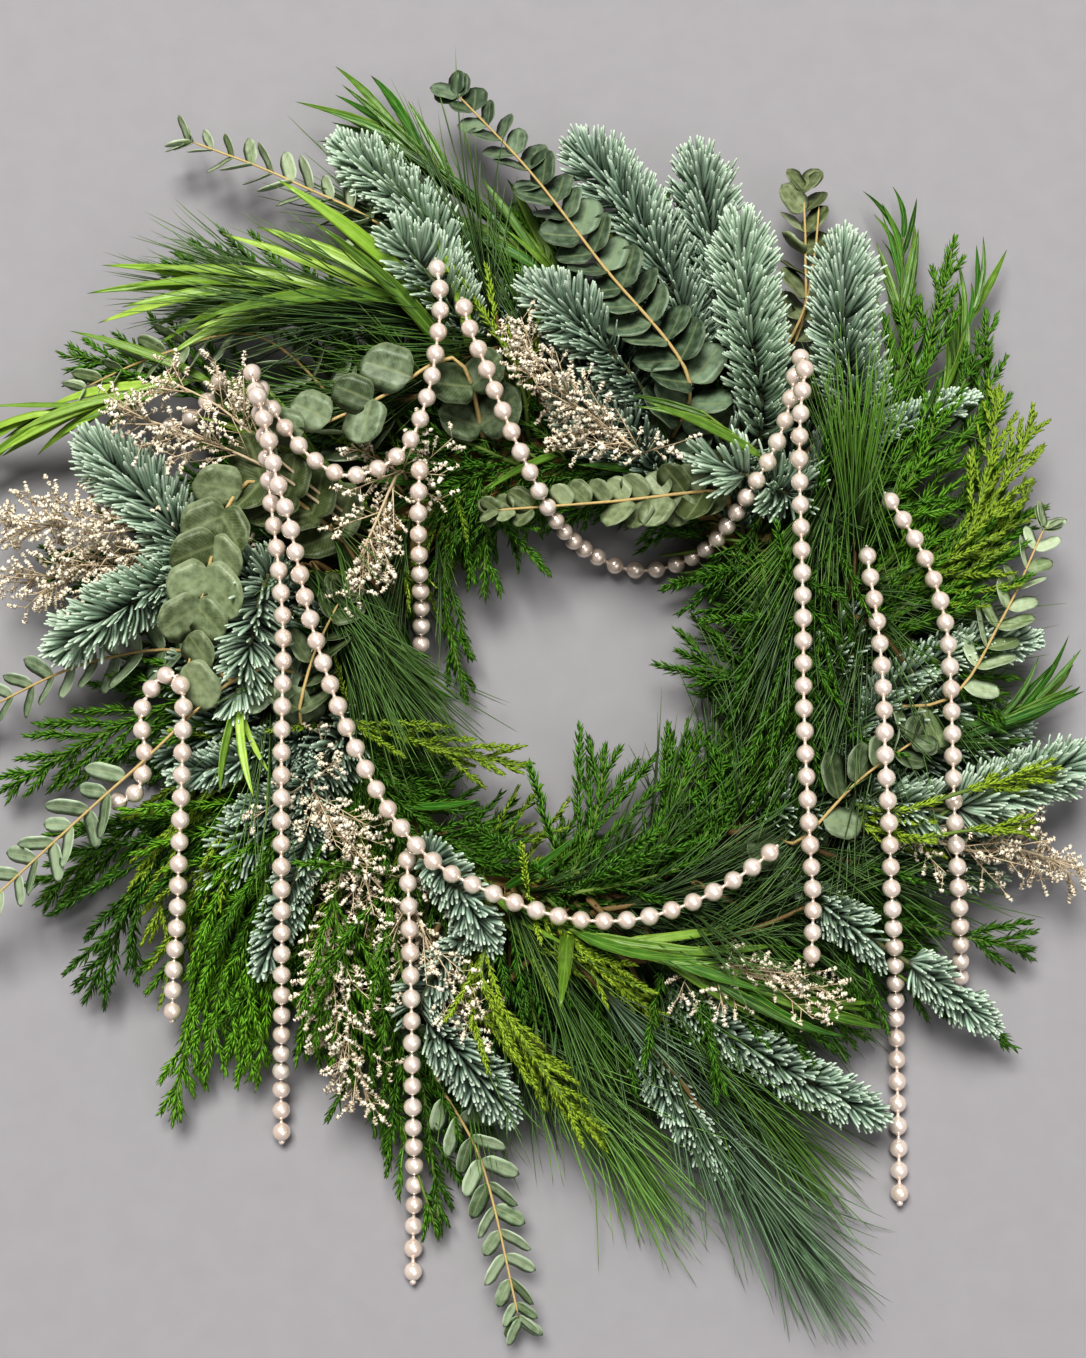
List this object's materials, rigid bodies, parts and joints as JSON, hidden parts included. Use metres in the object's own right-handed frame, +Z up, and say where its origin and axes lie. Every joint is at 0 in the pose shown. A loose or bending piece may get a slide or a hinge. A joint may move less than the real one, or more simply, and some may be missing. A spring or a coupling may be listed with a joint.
{
  "type": "fresh evergreen wreath",
  "caption": "Evergreen wreath lying flat: sprays of fir, pine, cedar, cypress, eucalyptus, lance leaves and dried filler round a straw ring, draped with strands of pearls.",
  "frame": {"origin": "middle of the underside of the wreath, measured without its pearl strands", "axes": "+Z up from the surface the wreath lies on, its thickness; +Y towards the top of the wreath as pictured; +X to the right"},
  "size_m": [0.631, 0.7172, 0.1259],
  "materials": {
    "straw": "matte bound straw",
    "binding_wire": "green lacquered florist wire",
    "pearl": "glossy pearlescent champagne ivory on a white string",
    "fir": "waxy blue-green needles",
    "pine": "satin green needles with paler tips",
    "cedar": "satin green awl-shaped needles",
    "cypress": "satin yellow-green sprays",
    "eucalyptus": "matte grey-green leaves on tan stems",
    "lance_leaf": "satin long green leaves",
    "dried_filler": "matte off-white dried flowers on grey stems"
  },
  "bodies": {
    "root": {"binding_wire": "binding_wire", "cedar_bottom": "cedar", "cedar_bottom_left": "cedar", "cedar_hole_bottom": "cedar", "cedar_hole_right": "cedar", "cedar_hole_top": "cedar", "cedar_left": "cedar", "cedar_low_right": "cedar", "cedar_right_top": "cedar", "cypress_bottom": "cypress", "cypress_inner_left": "cypress", "cypress_left_low": "cypress", "cypress_right": "cypress", "cypress_right_top": "cypress", "eucalyptus_bottom": "eucalyptus", "eucalyptus_disc": "eucalyptus", "eucalyptus_left": "eucalyptus", "eucalyptus_left_low": "eucalyptus", "eucalyptus_left_top": "eucalyptus", "eucalyptus_right": "eucalyptus", "eucalyptus_rim": "eucalyptus", "eucalyptus_top": "eucalyptus", "eucalyptus_top_left": "eucalyptus", "eucalyptus_top_right": "eucalyptus", "filler_bottom": "dried_filler", "filler_inner_left": "dried_filler", "filler_left": "dried_filler", "filler_right": "dried_filler", "filler_top": "dried_filler", "fir_bottom": "fir", "fir_bottom_right": "fir", "fir_left": "fir", "fir_left_low": "fir", "fir_left_upper": "fir", "fir_right": "fir", "fir_right_low": "fir", "fir_top": "fir", "fir_top_big": "fir", "fir_top_left": "fir", "fir_top_right": "fir", "lance_bottom": "lance_leaf", "lance_left": "lance_leaf", "lance_right_top": "lance_leaf", "lance_top": "lance_leaf", "lance_top_left": "lance_leaf", "pearl_strand_bottom": "pearl", "pearl_strand_far_left": "pearl", "pearl_strand_hole": "pearl", "pearl_strand_left": "pearl", "pearl_strand_right_inner": "pearl", "pearl_strand_right_outer": "pearl", "pearl_strand_swag": "pearl", "pearl_strand_top_left": "pearl", "pearl_strand_top_right": "pearl", "pine_bottom": "pine", "pine_left": "pine", "pine_low_right": "pine", "pine_right": "pine", "pine_top_left": "pine", "straw_ring": "straw"}
  },
  "joints": []
}
